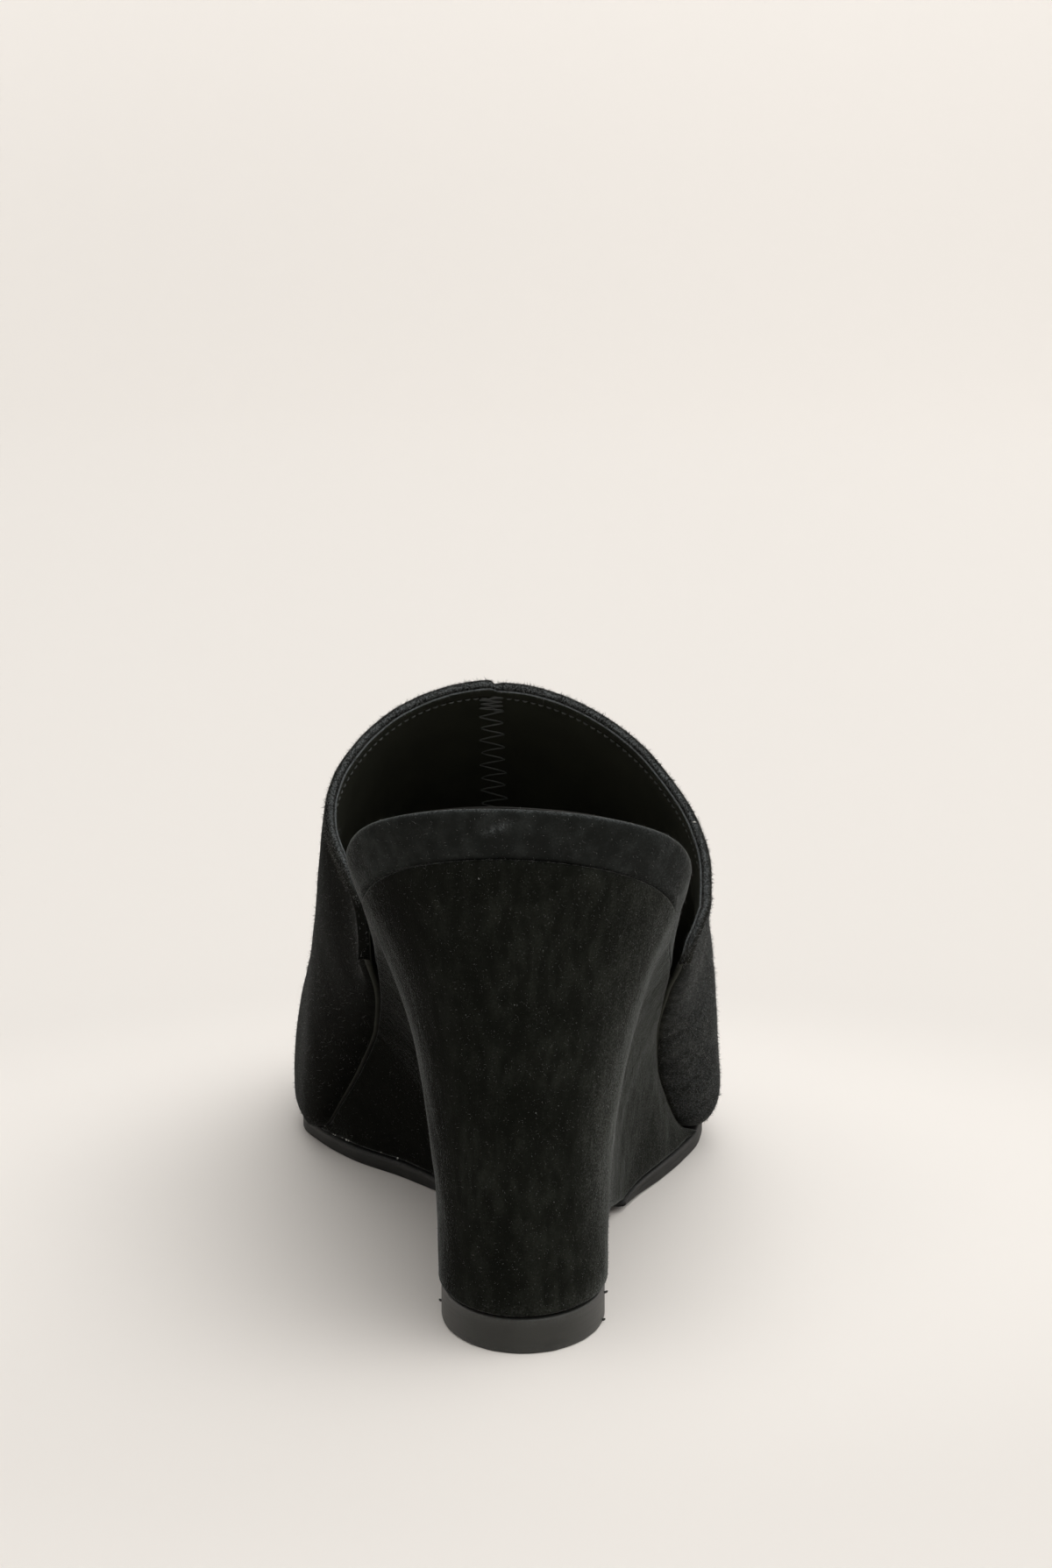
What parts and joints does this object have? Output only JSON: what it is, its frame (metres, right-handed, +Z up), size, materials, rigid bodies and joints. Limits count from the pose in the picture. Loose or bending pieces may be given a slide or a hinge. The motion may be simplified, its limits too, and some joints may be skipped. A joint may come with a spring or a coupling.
{
  "type": "mule shoe",
  "caption": "Black suede wedge mule, right foot: closed-toe upper open at instep and heel, wrapped insole, tall covered wedge, thin rubber forefoot outsole and heel lift.",
  "frame": {"origin": "middle of the heel lift's ground face, on the floor", "axes": "+Z up, +Y from heel to toe, +X to the outer (little toe) side of the foot"},
  "size_m": [0.0879, 0.2377, 0.0992],
  "materials": {
    "suede_upper": "black suede with a fine nap, black leather lining inside",
    "suede_rim": "black suede wrapped over the insole's rim, smooth black leather sock on top",
    "suede_wedge": "black suede glued over the wedge",
    "sole_rubber": "satin black rubber",
    "lift_rubber": "satin black rubber, sanded edge"
  },
  "bodies": {
    "root": {"upper": "suede_upper", "insole": "suede_rim", "wedge": "suede_wedge", "outsole": "sole_rubber", "heel_lift": "lift_rubber"}
  },
  "joints": []
}
